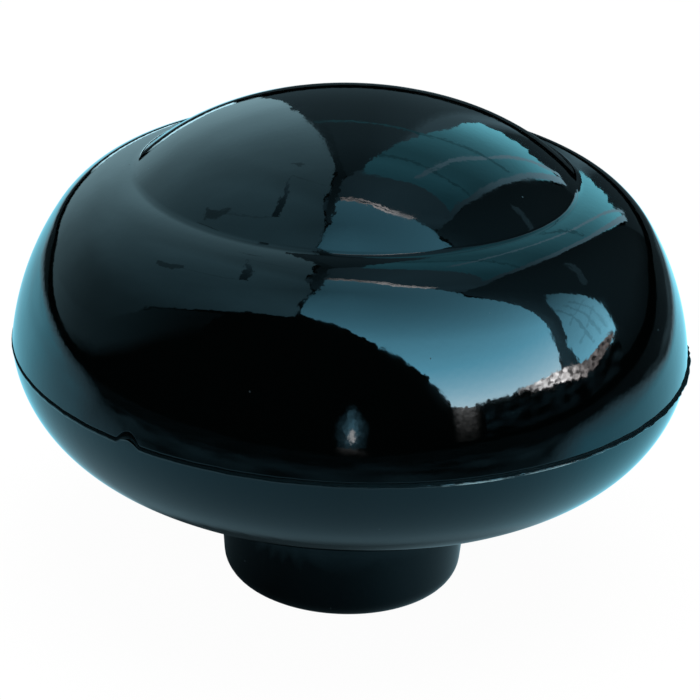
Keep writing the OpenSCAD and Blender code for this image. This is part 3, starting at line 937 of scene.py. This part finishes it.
def make_set(s):
    """What stands round the knob, for its gloss to mirror: a pale table, a grey wall on the left,
    windows with thin bars at the back and on the right, and a pale ceiling, in front of black cloth."""
    glow = {
        "wall": glow_material("Painted wall", s.wall),
        "day": glow_material("Daylight", s.daylight, 6.0),
        "sky": glow_material("Daylight through the back window", s.back_daylight),
        "grey": glow_material("Shaded frame", s.frame_grey),
        "warm": glow_material("Sunlit street", rgb("#FFD9CE")),
        "table": glow_material("Table top", s.table, 0.4, "#7DCADF"),
        "black": glow_material("Black cloth", rgb("#808080")),
    }
    for make in (make_black_and_table, make_wall, make_post_and_soffit, make_back_window,
                 make_right_windows, make_street_and_doorway):
        make(glow)


# ---------------------------------------------------------------- floor, lamps and camera

def seen_or_mirrored(tree):
    """1 for what the camera sees and what gloss and glass show of it, and 0 for what lights the knob."""
    ray = add(tree, "ShaderNodeLightPath").outputs
    seen = add(tree, "ShaderNodeMath", {0: ray["Is Camera Ray"], 1: ray["Is Glossy Ray"]},
               operation="MAXIMUM")
    return add(tree, "ShaderNodeMath", {0: seen, 1: ray["Is Transmission Ray"]}, operation="MAXIMUM")


def make_floor():
    """A white floor that keeps the knob's soft shadow, faint because the studio is bright all round."""
    material, tree = new_material("White studio paper")
    paper = add(tree, "ShaderNodeBsdfDiffuse", {"Color": rgb("#F4F4F4")})
    white = add(tree, "ShaderNodeEmission", {"Color": (1, 1, 1, 1), "Strength": 1.0})
    # the little that isn't plain white shows the lit paper, with the shadow on it
    plain_white = 0.97
    share = add(tree, "ShaderNodeMath", {0: seen_or_mirrored(tree), 1: plain_white}, operation="MULTIPLY")
    both = add(tree, "ShaderNodeMixShader", {0: share, 1: paper, 2: white})
    add(tree, "ShaderNodeOutputMaterial", {"Surface": both})
    material.cycles.emission_sampling = "NONE"
    half, drop = 6.0, -0.01 * MM
    corners = ((-half, -half), (half, -half), (half, half), (-half, half))
    floor = mesh_object("floor", [(x, y, drop) for x, y in corners], [(0, 1, 2, 3)])
    floor.data.materials.append(material)


def make_world():
    """White where it is seen or mirrored, and about half as bright as that where it lights the knob."""
    world = bpy.data.worlds.new("Studio")
    world.use_nodes = True
    tree = world.node_tree
    tree.nodes.clear()
    level = add(tree, "ShaderNodeMapRange",
                {"Value": seen_or_mirrored(tree), "To Min": 0.45, "To Max": 1.0})
    glow = add(tree, "ShaderNodeBackground", {"Color": (1, 1, 1, 1), "Strength": level})
    add(tree, "ShaderNodeOutputWorld", {"Surface": glow})
    bpy.context.scene.world = world


def make_lamps():
    """One soft box overhead and one at the left, plain and white, which the gloss doesn't mirror."""
    middle = Vector((0, 0, 20 * MM))
    for name, place, size, power in (("soft_box_top", (0.1, -0.1, 0.9), 0.7, 9.0),
                                     ("soft_box_left", (-0.8, -0.35, 0.5), 0.5, 3.0)):
        lamp = bpy.data.lights.new(name, "AREA")
        lamp.shape, lamp.size, lamp.energy = "SQUARE", size, power
        thing = bpy.data.objects.new(name, lamp)
        thing.location = place
        thing.rotation_euler = (Vector(place) - middle).to_track_quat("Z", "Y").to_euler()
        thing.visible_glossy = False
        bpy.context.scene.collection.objects.link(thing)


def make_camera(s, parting):
    """A camera that looks a little under the middle of the parting line"""
    camera = bpy.data.cameras.new("camera")
    camera.lens, camera.sensor_width, camera.clip_start = s.focal_length, 36, 0.01
    thing = bpy.data.objects.new("camera", camera)
    aim_lower = math.radians(0.30)
    look = s.camera_elevation + aim_lower
    ahead, level = Vector((0, math.cos(look), -math.sin(look))), Vector((1, 0, 0))
    upright = level.cross(ahead)
    c, r = math.cos(s.camera_roll), math.sin(s.camera_roll)
    right, up = level * c + upright * r, upright * c - level * r
    place = Vector((0, -math.cos(s.camera_elevation), math.sin(s.camera_elevation))) * s.camera_distance
    thing.matrix_world = Matrix.Translation(place + Vector((0, 0, parting))) @ Matrix(
        (right, up, -ahead)).transposed().to_4x4()
    bpy.context.scene.collection.objects.link(thing)
    bpy.context.scene.camera = thing


class GEARKNOB_OT_studio(bpy.types.Operator):
    """Make the floor, the set, the lamps and the camera"""
    bl_idname = "gearknob.studio"
    bl_label = "Studio"

    def execute(self, context):
        s = context.scene.gear_knob_studio
        context.scene.view_settings.view_transform = "Standard"
        pieces = set(context.scene.objects)
        make_floor()
        make_set(s)
        make_world()
        make_lamps()
        make_camera(s, context.scene.gear_knob_body.parting_height)
        context.view_layer.update()
        for thing in set(context.scene.objects) - pieces:
            thing.matrix_world = Matrix.Rotation(s.turn, 4, "Z") @ thing.matrix_world
        return {"FINISHED"}


# ---------------------------------------------------------------- add-on

class GEARKNOB_PT_panel(bpy.types.Panel):
    """Sizes, colours and the makers of each piece"""
    bl_idname = "GEARKNOB_PT_panel"
    bl_label = "Gear Shift Knob"
    bl_space_type = "VIEW_3D"
    bl_region_type = "UI"
    bl_category = "Gear Knob"

    def draw(self, context):
        for settings, maker in ((context.scene.gear_knob_body, GEARKNOB_OT_body),
                                (context.scene.gear_knob_bush, GEARKNOB_OT_bush),
                                (context.scene.gear_knob_studio, GEARKNOB_OT_studio)):
            box = self.layout.box()
            for name in settings.bl_rna.properties.keys():
                if name not in ("rna_type", "name"):
                    box.prop(settings, name)
            box.operator(maker.bl_idname)


CLASSES = (KnobBodySizes, BushSizes, StudioSizes, GEARKNOB_OT_body, GEARKNOB_OT_bush, GEARKNOB_OT_studio,
           GEARKNOB_PT_panel)


def register():
    for kind in CLASSES:
        bpy.utils.register_class(kind)
    bpy.types.Scene.gear_knob_body = bpy.props.PointerProperty(type=KnobBodySizes)
    bpy.types.Scene.gear_knob_bush = bpy.props.PointerProperty(type=BushSizes)
    bpy.types.Scene.gear_knob_studio = bpy.props.PointerProperty(type=StudioSizes)


def unregister():
    del bpy.types.Scene.gear_knob_studio
    del bpy.types.Scene.gear_knob_bush
    del bpy.types.Scene.gear_knob_body
    for kind in reversed(CLASSES):
        bpy.utils.unregister_class(kind)


def main():
    register()
    bpy.ops.gearknob.body()
    bpy.ops.gearknob.bush()
    bpy.ops.gearknob.studio()


if __name__ == "__main__":
    main()
